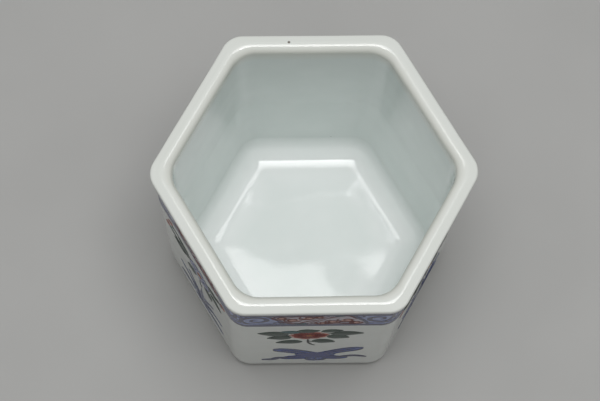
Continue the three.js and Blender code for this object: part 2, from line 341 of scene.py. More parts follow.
def body_rows(form):
    """Outlines from under the floor up the outside, over the lip and down to the floor inside.
    With each goes how much the glaze pools there, which also paints light, as a paler colour, into the cove
    and onto the floor; how thin it has run, whose darker colour also paints shade on the lip's inner side;
    and how much painted shade it takes, with the cooler tint of thicker glaze inside."""
    rows = []

    def add(apothem, radius, z, pooled=0.0, thin=0.0, sheltered=0.0):
        rows.append((apothem, radius, z, (pooled, thin, sheltered)))

    wall_foot = form.underside + form.floor_edge
    edge_apothem = form.outer(form.underside) - form.floor_edge
    edge_radius = form.outer_radius(form.underside) - form.floor_edge
    for share in np.linspace(0.06, 1, 9):
        add(edge_apothem * share, edge_radius * share, form.underside, UNDER_POOL, 0, UNDER_SHELTER)
    for turn in np.linspace(0, math.pi / 2, 10)[1:]:
        z = form.underside + form.floor_edge * (1 - math.cos(turn))
        inset = form.floor_edge * (1 - math.sin(turn))
        add(form.outer(z) - inset, form.outer_radius(z) - inset, z, EDGE_POOL * math.cos(turn))
    for z in np.linspace(wall_foot, form.lip_base, 38)[1:-1]:
        add(form.outer(z), form.outer_radius(z), z, FOOT_POOL * max(0.0, 1 - (z - wall_foot) / FOOT_POOL_FADE))
    for share in np.linspace(0, 1, 9)[:-1]:
        z = form.lip_base + (form.crown_base - form.lip_base) * share
        add(form.outer(z) + form.swell(z), form.outer_radius(z), z, BEAD_POOL * math.sin(math.pi * share))
    lip = form.wall + form.lip_proud
    for inset, z in crown_section(form):
        radius = form.rim_radius + (form.corner_cove - form.rim_radius) * inset / lip
        # The thin glaze's warm colour, darkened as painted shade, grows towards the lip's inner edge
        thin = CREST_THIN + EDGE_THIN * max(0.0, (inset - form.crest_inset) / (lip - form.crest_inset))
        add(form.outer(form.crown_base) + form.lip_proud - inset, radius, z, 0, thin)
    cove = cove_section(form)
    top_apothem, top_z = cove[0]
    upright = form.outer(form.crown_base) - form.wall
    foot = upright - INNER_LEAN * (form.crown_base - top_z) - top_apothem
    # Down the inner walls, painted shade with the tint of thicker glaze sets in a little way below the lip
    for z in np.linspace(form.crown_base, top_z, 44)[1:-1]:
        share = (form.crown_base - z) / (form.crown_base - top_z)
        below = max(0.0, (form.wall_bend - z) / (form.wall_bend - top_z))
        straight = upright - INNER_LEAN * (form.crown_base - z)
        add(straight - foot * below ** BEND_CURVE, form.corner_cove, z, INSIDE_POOL * share,
            INNER_THIN * max(0.0, 1 - SHELTER_RATE * share), min(1.0, SHELTER_RATE * share))
    # Down the cove and over the floor the glaze pools, and its paler colour paints light there
    for apothem, z in cove:
        inward = (top_apothem - apothem) / (top_apothem - form.cove_apothem)
        radius = form.corner_cove + (form.floor_corner - form.corner_cove) * inward
        add(apothem, radius, z, INSIDE_POOL + (1 - INSIDE_POOL) * inward ** 0.5, 0, 1)
    for share in np.linspace(1, 0.05, 20)[1:]:
        near_cove = max(0.0, (share - FLOOR_POOL_FROM) / (1 - FLOOR_POOL_FROM))
        add(form.cove_apothem * share, form.floor_corner * share, form.floor_top,
            FLOOR_POOL + (1 - FLOOR_POOL) * near_cove, 0, 1)
    return rows


# Sizes of the broad ripples and of the fine ones, and where in the noise the broad ones start
BROAD_RIPPLE, FINE_RIPPLE = 20 * MM, 9 * MM
RIPPLE_START = Vector((19.3, 11.6, -20.0))
# Up the walls, from one height and over another, the broad ones calm down by a part and fine ones come in
CALM_FROM, CALM_OVER = 20 * MM, 10 * MM
WALL_CALM, WALL_FINE = 0.7, 0.1


def rippled(points, values, ripple):
    """The inside was smoothed with wet fingers, which leaves broad ripples, and finer ones on the walls."""
    broad = np.array([wander(point, BROAD_RIPPLE, RIPPLE_START) for point in points])
    fine = np.array([wander(point, FINE_RIPPLE) for point in points])
    on_walls = np.clip((points[:, 2:] - CALM_FROM) / CALM_OVER, 0, 1)
    lift = broad * (1 - WALL_CALM * on_walls) + WALL_FINE * on_walls * fine
    return points + ripple * values[:, 2:] * lift


def build_body(scene):
    form = Form(scene.fire_pot_sizes)
    rows = body_rows(form)
    outlines = [outline(apothem, radius, z) for apothem, radius, z, glaze in rows]
    points, faces, values = stacked_mesh(outlines, [glaze for apothem, radius, z, glaze in rows])
    inside = points[:, 2:] > form.floor_top - 1 * MM
    points = rippled(points, values * inside, form.ripple)
    body = add_piece("porcelain_body", points, faces, "glaze", values,
                     glazed_porcelain(scene.fire_pot_colours), form)
    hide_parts("floor_slab", *[f"wall_slab_{side}" for side in SIDES],
                *[f"floor_coil_{side}" for side in SIDES], *[f"corner_coil_{corner}" for corner in CORNERS])


# Bare foot

# Radius of the foot's worn edges, how much tighter its corners turn than the floor's, how far it reaches
# into the glaze, and the share of its height where its sides start to round
FOOT_ROUND = 0.7 * MM
FOOT_CORNER_INSET = 3 * MM
FOOT_BEDDED = 0.3 * MM
FOOT_SIDE = 0.6


def build_foot(scene):
    """The foot ring, wiped clean of glaze. Its upper edge reaches into the glaze that ends there."""
    form = Form(scene.fire_pot_sizes)
    middle = (form.foot_outer + form.foot_inner) / 2
    half = (form.foot_outer - form.foot_inner) / 2
    radius = form.outer_radius(form.underside) - form.floor_edge - FOOT_CORNER_INSET
    outer = [(half, form.foot_height), (half, FOOT_SIDE * form.foot_height)]
    outer += [(half - FOOT_ROUND * (1 - math.cos(turn)), FOOT_ROUND * (1 - math.sin(turn)))
              for turn in np.linspace(0, math.pi / 2, 6)]
    section = outer + [(half * share, 0.0) for share in (0.5, 0, -0.5)]
    section += [(-across, z) for across, z in reversed(outer)]
    section += [(half * share, form.foot_height + FOOT_BEDDED) for share in (-0.9, 0, 0.9)]
    rows = [outline(middle + across, radius, z) for across, z in section]
    values = [(z / form.foot_height, 0, 0) for across, z in section]
    points, faces, weights = stacked_mesh(rows, values, close=True)
    foot = add_piece("bare_foot", points, faces, "clay", weights, bare_porcelain(scene.fire_pot_colours), form)
    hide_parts(*[f"foot_strip_{side}" for side in SIDES])


# Brush strokes. Places on a wall are millimetres: to the right of its middle line, and above the ground.


def on_wall(form, side, across, up, lift):
    """Points on the outer face. Past a corner they go on round it, onto the next wall."""
    z = up * MM
    apothem, radius = form.outer(z) + form.swell(z), form.outer_radius(z)
    half_flat = (apothem - radius) * math.tan(HALF_TURN)
    half = half_flat + radius * HALF_TURN
    beyond = np.floor((across * MM + half) / (2 * half)).astype(int)
    place = across * MM - 2 * half * beyond
    wall = (side + beyond) % len(SIDES)
    turn = np.sign(place) * np.clip((np.abs(place) - half_flat) / radius, 0, HALF_TURN)
    flat = np.clip(place, -half_flat, half_flat)
    out, right = OUTWARD[wall], RIGHTWARD[wall]
    reach = radius + lift * MM
    plan = (
        out * (apothem - radius)[..., None] + right * flat[..., None]
        + (out * np.cos(turn)[..., None] + right * np.sin(turn)[..., None]) * reach[..., None]
    )
    return np.concatenate([plan, z[..., None]], -1)


def smooth_path(points, steps):
    """A smooth line through the points, evenly stepped."""
    points = np.array(points, float)
    if len(points) == 2:
        points = np.array([points[0], points.mean(0), points[1]])
    held = np.concatenate([[2 * points[0] - points[1]], points, [2 * points[-1] - points[-2]]])
    dense = []
    for a, b, c, d in zip(held, held[1:], held[2:], held[3:]):
        for t in np.linspace(0, 1, 16, endpoint=False):
            dense.append(0.5 * (2 * b + (c - a) * t + (2 * a - 5 * b + 4 * c - d) * t ** 2
                                + (3 * b - a - 3 * c + d) * t ** 3))
    dense = np.array([*dense, points[-1]])
    run = np.concatenate([[0], np.cumsum(np.hypot(*np.diff(dense, axis=0).T))])
    at = np.linspace(0, run[-1], steps + 1)
    return np.column_stack([np.interp(at, run, dense[:, 0]), np.interp(at, run, dense[:, 1])])


def towards(angle, stretch=1.0):
    """The unit step along an angle in degrees, stretched upright."""
    turn = math.radians(angle)
    return np.array([math.cos(turn), stretch * math.sin(turn)])


def headings(path):
    """The step ahead at each point of a path, and the unit step to its left."""
    ahead = np.gradient(path, axis=0)
    return ahead, np.column_stack([-ahead[:, 1], ahead[:, 0]]) / np.hypot(*ahead.T)[:, None]


# How wide the brush is pressed along a stroke, from 0 to 1
PRESSES = {
    "line": lambda t: 0.25 + 0.75 * np.sin(np.pi * np.clip(t, 0, 1)) ** 0.5,
    "even": lambda t: np.ones_like(t),
    "leaf": lambda t: np.maximum(0.06, np.sin(np.pi * t ** 0.8) ** 0.75),
    "oval": lambda t: np.maximum(0.1, np.sqrt(np.clip(1 - (2 * t - 1) ** 2, 0, 1))),
    "petal": lambda t: np.maximum(0.12, np.minimum(1, 0.35 + 0.9 * t) * np.sqrt(np.clip(1 - t ** 7, 0, 1))),
    "blade": lambda t: np.maximum(
        0.05, (1 - t) ** 0.6 * (0.55 + 0.45 * np.sin(np.pi * np.clip(1.4 * t, 0, 1)))),
    "blunt": lambda t: np.maximum(0.1, (0.72 + 0.28 * t) * np.sqrt(np.clip(1 - t ** 9, 0, 1))),
}


class Coat:
    """One colour of the painting: brush strokes as thin closed slips that lie on the walls."""

    # In mm: how deep a slip's back is sunk, how far its front clears the body's skin, and how much higher
    # each stroke lies than the one before, in rounds of RISES strokes
    SUNK = -0.06
    CLEAR = 0.035
    STROKE_RISE = 0.0025
    RISES = 8
    # A line has a step in so many mm, within limits
    STEP, FEWEST, MOST = 0.7, 5, 60

    def __init__(self, form, name, paint, lift, seed, dome=0.0):
        self.form = form
        self.name = name
        self.paint = paint
        self.lift = lift
        self.dome = dome
        self.random = np.random.default_rng(form.brush_seed + seed)
        self.points, self.faces, self.values = [], [], []
        self.count = 0
        self.strokes = 0

    def patch(self, side, grid):
        """A slip over a grid of places. Its rows run along the stroke."""
        across, up = grid[..., 0], grid[..., 1]
        rows, columns = across.shape
        along = np.linspace(0, 1, rows)[:, None] * np.ones((1, columns))
        beside = np.ones((rows, 1)) * np.linspace(-1, 1, columns)[None, :]
        rise = self.CLEAR + self.lift + self.STROKE_RISE * (self.strokes % self.RISES)
        crown = self.dome * (1 - beside ** 2) * np.clip(4 * along, 0, 1) * np.clip(4 * (1 - along), 0, 1)
        tone = self.random.random()
        top = on_wall(self.form, side, across, up, rise + crown)
        bottom = on_wall(self.form, side, across, up, np.full(across.shape, self.SUNK))
        size = rows * columns
        place = self.count + np.arange(size).reshape(rows, columns)
        for sheet in (place, place[:, ::-1] + size):
            quads = np.stack([sheet[:-1, :-1], sheet[:-1, 1:], sheet[1:, 1:], sheet[1:, :-1]], -1)
            self.faces += [tuple(quad) for quad in quads.reshape(-1, 4).tolist()]
        rim = np.concatenate([place[0, :-1], place[:-1, -1], place[-1, :0:-1], place[:0:-1, 0]])
        for a, b in zip(rim.tolist(), np.roll(rim, -1).tolist()):
            self.faces.append((b, a, a + size, b + size))
        self.points += [top.reshape(-1, 3), bottom.reshape(-1, 3)]
        self.values += 2 * [np.stack([along, beside, np.full(across.shape, tone)], -1).reshape(-1, 3)]
        self.count += 2 * size
        self.strokes += 1

    def stroke(self, side, points, width, press="line", steps=None, columns=4, wobble=0.0):
        """A stroke along a line, as wide as the brush is pressed."""
        run = np.hypot(*np.diff(np.array(points, float), axis=0).T).sum()
        steps = steps or int(np.clip(run / self.STEP, self.FEWEST, self.MOST))
        path = smooth_path(points, steps)
        share = np.linspace(0, 1, steps + 1)
        half = width / 2 * PRESSES[press](share)
        if wobble:
            waves = self.random.uniform(0, math.tau, 2)
            half = half * (1 + wobble * np.sin(9 * share + waves[0]) * np.sin(4 * share + waves[1]))
        aside = headings(path)[1]
        beside = np.linspace(-1, 1, columns + 1)
        self.patch(side, path[:, None, :] + aside[:, None, :] * half[:, None, None] * beside[None, :, None])

    def dab(self, side, middle, angle, long, width, press="oval", columns=4, bend=0.0):
        """A short stroke that lies over its middle and points along an angle."""
        ahead = towards(angle)
        aside = np.array([-ahead[1], ahead[0]])
        middle = np.array(middle, float)
        points = [middle - ahead * long / 2, middle + aside * bend, middle + ahead * long / 2]
        self.stroke(side, points, width, press, columns=columns)

    def curl(self, side, middle, outer, inner, start, turns, width):
        """A line that winds in on itself. Turns are clockwise where they are negative."""
        share = np.linspace(0, 1, max(6, int(abs(turns) * 12)))
        reach = outer + (inner - outer) * share
        turn = math.radians(start) + turns * math.tau * share
        points = np.column_stack([middle[0] + reach * np.cos(turn), middle[1] + reach * np.sin(turn)])
        self.stroke(side, points, width)

    def fill(self, side, first, last, steps=90):
        """A slip between two lines that have as many points as each other."""
        shares = np.linspace(0, 1, steps + 1)[:, None, None]
        self.patch(side, first * (1 - shares) + last * shares)

    def build(self, colours):
        made = add_piece(self.name, np.concatenate(self.points), self.faces, "brush",
                         np.concatenate(self.values), painted(self.paint, colours), self.form)
        made.data.set_sharp_from_angle(angle=math.radians(50))


def coats_of(form, *kinds):
    """Coats by name, paint, height above the wall in mm, brush seed and the height of their domes in mm."""
    return [Coat(form, *kind) for kind in kinds]


def build_border(scene):
    """The band under the lip: blue wash with curls at the corners, and a slanting field of red scrolls."""
    form = Form(scene.fire_pot_sizes)
    low, high = form.border_low / MM, form.border_high / MM
    coats = coats_of(
        form,
        ("border_wash", "underglaze_cobalt_wash", 0.02, 0),
        ("border_field", "underglaze_tint", 0.02, 17),
        ("border_lines", "underglaze_cobalt_line", 0.045, 1),
        ("border_scroll_fill", "pale_red_enamel", 0.045, 2),
        ("border_scroll_lines", "iron_red_line", 0.07, 3),
        ("border_turquoise", "turquoise_enamel", 0.05, 4, 0.05),
    )
    wash, field, line, pink, red, sea = coats

    def at(*spots):
        """Places on the wall, from how far they lie across it and their share of the border's height."""
        places = np.array(spots, float) * (1, high - low) + (0, low)
        return places if len(spots) > 1 else places[0]

    z = (low + high) / 2 * MM
    radius = form.outer_radius(z)
    half = ((form.outer(z) - radius) * math.tan(HALF_TURN) + radius * HALF_TURN) / MM
    left_end = smooth_path(at((-4.5, 0.02), (-10.5, 0.28), (-14.5, 0.62), (-19.5, 0.98)), 10)
    right_end = smooth_path(at((18.5, 0.02), (17.5, 0.34), (13.5, 0.7), (7.5, 0.98)), 10)
    # Neighbours' lines overlap by so much where they meet, so that no gap shows
    past = half + 0.3
    for side in range(len(SIDES)):
        wash.fill(side, right_end, left_end + (2 * half, 0))
        field.fill(side, left_end, right_end)
        # The broad line below, a fine one over it, and the broad line above
        for height, width in ((low + 0.9, 2.8), (low + 4.4, 0.6), (high - 2.2, 3.9)):
            line.stroke(side, [(-past, height), (0, height), (past, height)], width, "even", steps=90)
        for end in (left_end, right_end):
            line.stroke(side, end, 1.6, steps=16)
        for across, share, outer, inner, start, turns, width in (
            (-20.6, 0.5, 6.0, 1.2, 250, -1.4, 1.9), (-13.4, 0.24, 2.8, 0.8, 200, 1.1, 1.4),
            (-26.8, 0.72, 2.9, 0.8, 340, 1.2, 1.4), (22.2, 0.54, 5.8, 1.2, 70, -1.4, 1.9),
            (15.6, 0.76, 2.7, 0.8, 20, 1.1, 1.4), (27.2, 0.32, 2.8, 0.8, 160, 1.2, 1.4),
        ):
            line.curl(side, at((across, share)), outer, inner, start, turns, width)
        line.stroke(side, at((-20, 0.2), (-17, 0.16), (-12, 0.14), (-8, 0.14)), 0.8)
        line.stroke(side, at((12, 0.84), (16, 0.86), (21, 0.8), (25, 0.78)), 0.8)
        line.stroke(side, at((-15.4, 0.66), (-10, 0.82), (-3, 0.78), (4, 0.88), (9, 0.8)), 0.9)
        for across, share, size, turn in (
            (-12.2, 0.66, 2.5, 1), (-7.6, 0.5, 2.9, -1), (-2.6, 0.66, 2.6, 1), (1.6, 0.72, 1.7, -1),
            (2.4, 0.22, 1.8, 1), (6.4, 0.34, 2.6, -1), (10.9, 0.46, 2.8, 1), (14.6, 0.26, 2.2, -1),
        ):
            middle = at((across, share))
            pink.dab(side, middle, 20 * turn, 1.5 * size, 1.2 * size)
            red.curl(side, middle, size, 0.5, 90 + 100 * turn, 1.3 * turn, 0.85)
            red.curl(side, middle, 1.25 * size, 1.05 * size, 200 - 60 * turn, 0.4 * turn, 0.7)
        for path in (
            [(-15.0, 0.7), (-13.0, 0.82), (-8.6, 0.76), (-4.6, 0.83), (-0.4, 0.78), (3.6, 0.83)],
            [(-13.2, 0.4), (-10.4, 0.3), (-6.4, 0.2), (-3.6, 0.34), (0.2, 0.5)],
            [(-0.6, 0.18), (3.4, 0.15), (7.6, 0.2), (11.6, 0.15), (15.4, 0.18), (16.7, 0.3)],
            [(4.6, 0.62), (7.6, 0.74), (11.4, 0.8), (14.2, 0.56)],
        ):
            red.stroke(side, at(*path), 0.85)
        for shift in (0, 1.6):
            red.stroke(side, at((-3.6 + shift, 0.12), (-0.2 + shift, 0.4), (4.6 + shift, 0.78)), 0.3)
        sea.dab(side, at((-5.2, 0.17)), -8, 5.6, 2.1)
        sea.dab(side, at((8.6, 0.78)), 5, 4.2, 1.6)
    for coat in coats:
        coat.build(scene.fire_pot_colours)


def build_sprays(scene):
    """Flower sprays in enamels. Red flowers and blue ones take turns round the pot."""
    form = Form(scene.fire_pot_sizes)
    coats = coats_of(
        form,
        ("red_petals", "iron_red_enamel", 0.05, 5, 0.02),
        ("red_petal_lines", "iron_red_line", 0.1, 6),
        ("pale_petal_tips", "pale_red_enamel", 0.035, 7),
        ("flower_hearts", "yellow_enamel", 0.1, 8, 0.12),
        ("green_leaves", "copper_green_enamel", 0.055, 9, 0.13),
        ("turquoise_leaves", "turquoise_enamel", 0.055, 10, 0.1),
        ("stems", "dark_outline", 0.09, 11),
        ("blue_petals", "underglaze_cobalt_wash", 0.02, 12),
        ("blue_petal_lines", "underglaze_cobalt_line", 0.045, 13),
    )
    petal, petal_line, flush, heart, leaf, small_leaf, stem, blue_petal, blue_line = coats
    chance = np.random.default_rng(form.brush_seed + 14)

    def shifted():
        """No two sprays lie alike: each is off its place by up to half a millimetre each way."""
        return chance.uniform(-0.5, 0.5, 2)

    for side in range(0, len(SIDES), 2):
        nudge = shifted() if side else np.zeros(2)
        middle = nudge + (-1.6, 60.0)
        for place in range(9):
            angle = 18 + 40 * place
            reach = 6.5 + (0.5 if place % 3 == 0 else 0.0)
            ahead = towards(angle, 0.9)
            tip = middle + ahead * reach
            flush.stroke(side, [middle + ahead * 2, tip + ahead * 0.75], 4.8, "petal")
            petal.stroke(side, [middle + ahead * 1.0, tip], 4.1, "petal")
            for swing in (-13, 0, 13):
                out = towards(angle + swing, 0.9)
                petal_line.stroke(side, [middle + out * 2.3, middle + out * (reach - 0.9)], 0.5)
        for angle in range(5, 365, 60):
            petal_line.curl(side, middle + towards(angle) * 1.9, 1.2, 0.35, angle + 110, 0.7, 0.4)
        for angle in range(0, 360, 72):
            heart.dab(side, middle + 0.75 * towards(angle), angle, 1.0, 0.9)
        for spot, angle, long, wide in (
            ((-14.6, 62.8), 165, 11.4, 7.6), ((-12.2, 55.8), 186, 9.0, 6.8), ((-2.0, 68.0), 6, 8.4, 6.0),
            ((6.6, 67.2), 16, 8.2, 5.0), ((12.2, 62.8), 6, 12.0, 7.0), ((9.0, 56.8), 345, 8.6, 6.8),
            ((-8.6, 48.0), 188, 9.8, 6.2), ((3.9, 49.2), 348, 8.6, 6.6),
        ):
            leaf.dab(side, nudge + spot, angle, long, wide, "leaf", 8, math.copysign(0.6, spot[0]))
        small_leaf.dab(side, nudge + (-8.2, 65.8), 160, 7.4, 5.0, "leaf", 6)
        stem.stroke(side, nudge + [(-1.8, 53.6), (-1.9, 50), (-1.4, 46.2), (-0.2, 43.6), (0.9, 42.4)], 0.8)
        stem.stroke(side, nudge + [(-1.7, 50.4), (-0.4, 48.6), (0.8, 48.9), (0.9, 50.1)], 0.45)
        for ends in ([(-8, 63), (-11.5, 65.6)], [(-8, 60), (-10.5, 60)], [(4.4, 65), (6, 67.4)],
                     [(4.8, 62.4), (10.6, 63.8)], [(4.4, 59.6), (7.0, 59.2)]):
            stem.stroke(side, nudge + ends, 0.5)

    for side in range(1, len(SIDES), 2):
        nudge = shifted()
        middle = nudge + (2.2, 60.5)
        for place in range(11):
            angle = 10 + 360 / 11 * place
            ahead = towards(angle, 1.05)
            blue_petal.stroke(side, [middle + ahead * 1.6, middle + ahead * 7.0], 3.5, "petal")
            blue_line.stroke(side, [middle + 6.9 * towards(angle + swing, 1.05) for swing in (-14, 0, 14)], 0.5)
            blue_line.stroke(side, [middle + ahead * 2.6, middle + ahead * 5.4], 0.4)
        for angle in range(0, 360, 60):
            heart.dab(side, middle + towards(angle), angle, 1.0, 0.9)
        for spot, angle, long, wide in (
            ((-8.6, 66.4), 140, 8.6, 5.6), ((-11.8, 58.4), 185, 8.4, 5.2), ((12.6, 66.0), 32, 8.4, 5.4),
            ((13.4, 56.8), 345, 8.2, 5.2), ((-4.6, 50.2), 225, 7.8, 5.2), ((7.6, 50.6), 310, 7.4, 5.0),
        ):
            leaf.dab(side, nudge + spot, angle, long, wide, "leaf", 8, 0.5)
        for spot, angle in (((-16.6, 70.2), 120), ((-18.4, 64.2), 160), ((18.6, 71.2), 60)):
            spot = nudge + spot
            for swing in (-24, 0, 24):
                ahead = towards(angle + swing)
                petal.stroke(side, [spot, spot + ahead * 2.9], 1.9, "petal")
            small_leaf.dab(side, spot - 0.6 * ahead, angle + 180, 2.2, 1.6, "leaf", 6)
        for path in (
            [(-4, 63), (-8, 67), (-12, 69.4), (-16.6, 70.0)], [(-5.6, 60), (-11, 61.4), (-18, 64.0)],
            [(8.6, 64), (13, 68), (18.4, 70.8)], [(2.2, 53.4), (1.6, 48), (2.6, 43.4)],
        ):
            stem.stroke(side, nudge + path, 0.55)

    for coat in coats:
        coat.build(scene.fire_pot_colours)


def build_blue_motifs(scene):
    """Blue blades under the sprays: broad ones that cross, and on the other walls a tuft."""
    coats = coats_of(
        Form(scene.fire_pot_sizes),
        ("blue_blades", "underglaze_cobalt_deep_wash", 0.02, 15),
        ("blue_blade_depths", "underglaze_cobalt_depths", 0.045, 18),
        ("blue_blade_lines", "underglaze_cobalt_line", 0.07, 16),
    )
    wash, depth, line = coats
    broad = {"columns": 8, "wobble": 0.16}

    for side in range(0, len(SIDES), 2):
        wash.stroke(side, [(-4.6, 27.2), (2.0, 24.0), (9.0, 27.0)], 8.6, "oval", 24, **broad)
        # The last value of a blade is the step from which its outline shows
        for points, width, press, first in (
            ([(6.0, 18.5), (0.0, 25.0), (-6.0, 30.0), (-14.2, 34.4)], 8.0, "blunt", 7),
            ([(-2.0, 18.5), (5.0, 25.6), (10.6, 30.8), (19.0, 36.4)], 7.4, "blunt", 7),
            ([(8.0, 25.0), (1.0, 21.0), (-5.0, 18.6), (-11.6, 17.0)], 7.4, "oval", 9),
            ([(-3.5, 25.0), (3.0, 21.0), (9.0, 18.2), (14.0, 18.0)], 7.4, "oval", 9),
            ([(2.2, 26.0), (2.0, 19.0), (2.2, 12.2)], 9.2, "blunt", 8),
        ):
            wash.stroke(side, points, width, press, 24, **broad)
            path = smooth_path(points, 16)[first:]
            edge = headings(path)[1] * width * 0.43 * PRESSES[press](np.linspace(0, 1, 17))[first:, None]
            line.stroke(side, path - edge, 0.6)
            line.stroke(side, path + edge, 0.6)
            line.stroke(side, path[:-2], 0.5)
        for points, width in (
            ([(-6.0, 24.6), (0.6, 23.4), (7.0, 25.0)], 8.0), ([(-9.0, 19.6), (-5.0, 20.0), (-0.5, 21.6)], 4.4),
            ([(3.0, 21.6), (8.0, 19.6), (12.4, 19.0)], 4.4), ([(4.6, 27.4), (9.4, 30.2), (12.6, 32.4)], 3.4),
            ([(-3.0, 28.0), (-7.0, 30.6), (-10.0, 32.0)], 2.6),
        ):
            depth.stroke(side, points, width, "oval", 16, **broad)
        line.stroke(side, [(-8.0, 18.0), (-12.0, 18.0), (-14.4, 15.2), (-18.4, 15.0)], 2.8)
        line.stroke(side, [(9.0, 18.2), (13.0, 20.4), (16.6, 21.2), (21.0, 18.8)], 2.8)

    for side in range(1, len(SIDES), 2):
        for tip, waist, width in (
            ((-14.0, 31.0), (-6.0, 26.0), 4.6), ((-7.5, 37.0), (-3.0, 28.0), 4.4),
            ((1.6, 39.0), (1.0, 28.0), 4.6), ((10.0, 36.0), (5.0, 28.0), 4.4),
            ((16.0, 29.6), (8.5, 25.6), 4.4),
        ):
            points = [(1.0, 15.5), waist, tip]
            wash.stroke(side, points, width, "blade", 22, 8, 0.12)
            line.stroke(side, points, 0.6)
        for x, z in ((-9.5, 16.5), (11.0, 16.0), (1.0, 14.4)):
            wash.dab(side, (x, z), 4, 10.5, 3.4, columns=8)
            line.stroke(side, [(x - 5, z + 0.6), (x, z + 1.9), (x + 5, z + 0.6)], 0.6)

    for coat in coats:
        coat.build(scene.fire_pot_colours)


# Materials


def node(tree, kind, inputs=None, **settings):
    """Adds a shader node. An input is a value, or another node or one of its outputs to link."""
    made = tree.nodes.new(kind)
    for name, value in settings.items():
        setattr(made, name, value)
    for key, value in (inputs or {}).items():
        if isinstance(value, bpy.types.Node):
            value = value.outputs[0]
        if isinstance(value, bpy.types.NodeSocket):
            tree.links.new(value, made.inputs[key])
        else:
            made.inputs[key].default_value = value
    return made


FINISHES = {}

# Refraction of the clear glaze, and of the softer glass of the enamels
GLAZE_IOR = 1.52
ENAMEL_IOR = 1.5

GLAZE_ROUGHNESS, CLAY_ROUGHNESS, PAPER_ROUGHNESS = 0.05, 0.82, 0.9

# A grain of iron has fired through the glaze on the back of the lip. It fades from one radius to another.
LIP_SPECK = Vector((-8.1, 47.37, 103.98)) * MM
LIP_SPECK_CORE, LIP_SPECK_RIM = 0.3 * MM, 0.65 * MM
# Smaller ones are spread over cells, in those whose chance number is high. Their radii are shares of a cell.
SPECK_CELL, SPECK_CHANCE, SPECK_CORE, SPECK_RIM = 11 * MM, 0.86, 0.012, 0.024


def new_material(name):
    """A material without nodes, kept in FINISHES for the pieces that share it."""
    made = FINISHES[name] = bpy.data.materials.new(name)
    made.use_nodes = True
    made.node_tree.nodes.clear()
    return made, made.node_tree


def shade(value, share=1.0):
    """A colour as a shader takes it, darkened to a share."""
    return (*(share * part for part in value), 1.0)


def blend_colours(tree, factor, first, second):
    return node(tree, "ShaderNodeMix", {0: factor, 6: first, 7: second}, data_type="RGBA").outputs[2]


def surface(tree, base, roughness, normal, ior=ENAMEL_IOR, gloss=0.5):
    shader = node(tree, "ShaderNodeBsdfPrincipled", {"Base Color": base, "Roughness": roughness, "IOR": ior,
                                                     "Normal": normal, "Specular IOR Level": gloss})
    node(tree, "ShaderNodeOutputMaterial", {"Surface": shader})


def patches(tree, size, detail=2.0, low=0.35, high=0.65):
    """Soft patches about as large as size, from 0 to 1."""
    where = node(tree, "ShaderNodeTexCoord").outputs["Object"]
    mottle = node(tree, "ShaderNodeTexNoise", {"Vector": where, "Scale": 1 / size, "Detail": detail})
    return node(tree, "ShaderNodeMapRange", {"Value": mottle, "From Min": low, "From Max": high})


def relief(tree, spacing, detail, strength, depth):
    """Uneven dimples about as far apart as spacing."""
    where = node(tree, "ShaderNodeTexCoord").outputs["Object"]
    dimples = node(tree, "ShaderNodeTexNoise", {"Vector": where, "Scale": 1 / spacing, "Detail": detail})
    return node(tree, "ShaderNodeBump", {"Height": dimples, "Strength": strength, "Distance": depth})


def glaze_skin(tree):
    """The faint orange-peel of fired glaze: dimples about 1.6 mm apart and a few microns deep."""
    return relief(tree, 1.6 * MM, 1.0, 0.35, 0.012 * MM)


def parts_of(tree, attribute):
    """The three values that a piece's points carry."""
    carried = node(tree, "ShaderNodeAttribute", attribute_name=attribute)
    return node(tree, "ShaderNodeSeparateXYZ", {"Vector": carried.outputs["Vector"]}).outputs


def glazed_porcelain(colours):
    """High-fired white porcelain, dipped in a clear feldspar glaze. The glaze is glass: a sharp gloss over a
    white body. It is faintly green on the walls inside, where it lies thicker, and darkened there and under the
    floor as painted shade. In the cove and on the floor, where it pools, it is painted paler as light. It is
    warm where it has run thin on the lip, and darkened there as painted shade."""
    made, tree = new_material("porcelain_under_clear_glaze")
    pooled, thin, sheltered = parts_of(tree, "glaze")
    # Painted light: where the glaze pools, in patches, it is painted paler, most in the cove and on the floor
    pooled_and_lit_share = node(tree, "ShaderNodeMath", {0: patches(tree, 16 * MM), 1: 0.16, 2: pooled},
                  operation="MULTIPLY_ADD")
    # Painted shade: the darker, cooler colour of thicker glaze, inside and in part under the floor
    base = blend_colours(tree, sheltered, shade(colours.glaze), shade(colours.sheltered_glaze))
    base = blend_colours(tree, pooled_and_lit_share, base, shade(colours.pooled_glaze))
    # Warm thin glaze on the lip's inner edge, darkened as painted shade
    base = blend_colours(tree, thin, base, shade(colours.thin_glaze))
    # Iron specks of a third of a millimetre, in one out of seven cells
    where = node(tree, "ShaderNodeTexCoord").outputs["Object"]
    grains = node(tree, "ShaderNodeTexVoronoi", {"Vector": where, "Scale": 1 / SPECK_CELL})
    chosen = node(tree, "ShaderNodeSeparateColor", {"Color": grains.outputs["Color"]})
    rare = node(tree, "ShaderNodeMath", {0: chosen, 1: SPECK_CHANCE}, operation="GREATER_THAN")
    near = node(tree, "ShaderNodeMapRange",
                {"Value": grains, "From Min": SPECK_CORE, "From Max": SPECK_RIM, "To Min": 0.75, "To Max": 0})
    speck = node(tree, "ShaderNodeMath", {0: rare, 1: near}, operation="MULTIPLY")
    away = node(tree, "ShaderNodeVectorMath", {0: where, 1: LIP_SPECK}, operation="DISTANCE").outputs["Value"]
    blot = node(tree, "ShaderNodeMapRange",
                {"Value": away, "From Min": LIP_SPECK_CORE, "From Max": LIP_SPECK_RIM,
                 "To Min": 0.9, "To Max": 0})
    for spot in (speck, blot):
        base = blend_colours(tree, spot, base, shade(colours.iron_speck))
    surface(tree, base, GLAZE_ROUGHNESS, glaze_skin(tree), GLAZE_IOR)
    return made


